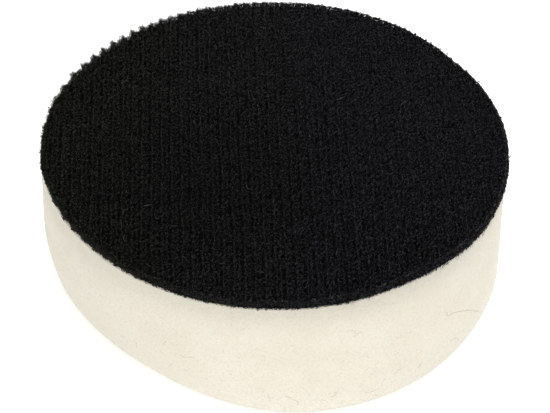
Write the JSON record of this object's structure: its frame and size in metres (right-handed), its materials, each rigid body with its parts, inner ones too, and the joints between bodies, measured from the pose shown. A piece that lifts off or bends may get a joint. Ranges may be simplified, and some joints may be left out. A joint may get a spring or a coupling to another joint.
{
  "type": "polishing pad",
  "caption": "Round foam polishing pad with a brushed loop-fabric back that presses onto the hook face of a polisher's backing plate.",
  "frame": {"origin": "centre of the foam's working (polishing) face, which is also the face the pad lies on", "axes": "+Z square to the layers, from the working face towards the loop face; +Y along the ribs of the loop fabric, which lean about two degrees off it; +X across them"},
  "size_m": [0.08, 0.08, 0.025],
  "materials": {
    "foam": "open-cell polyurethane foam, cream white, matt, with fine pores",
    "hot_melt_film": "thin translucent hot-melt adhesive film",
    "ground_cloth": "black warp-knitted ground cloth with fine lengthwise ribs",
    "loop_pile": "black brushed nylon loops in rows, with loose surface fuzz"
  },
  "bodies": {
    "root": {"foam_disc": "foam", "adhesive_film": "hot_melt_film", "loop_backing": "ground_cloth", "loop_pile": "loop_pile"}
  },
  "joints": []
}
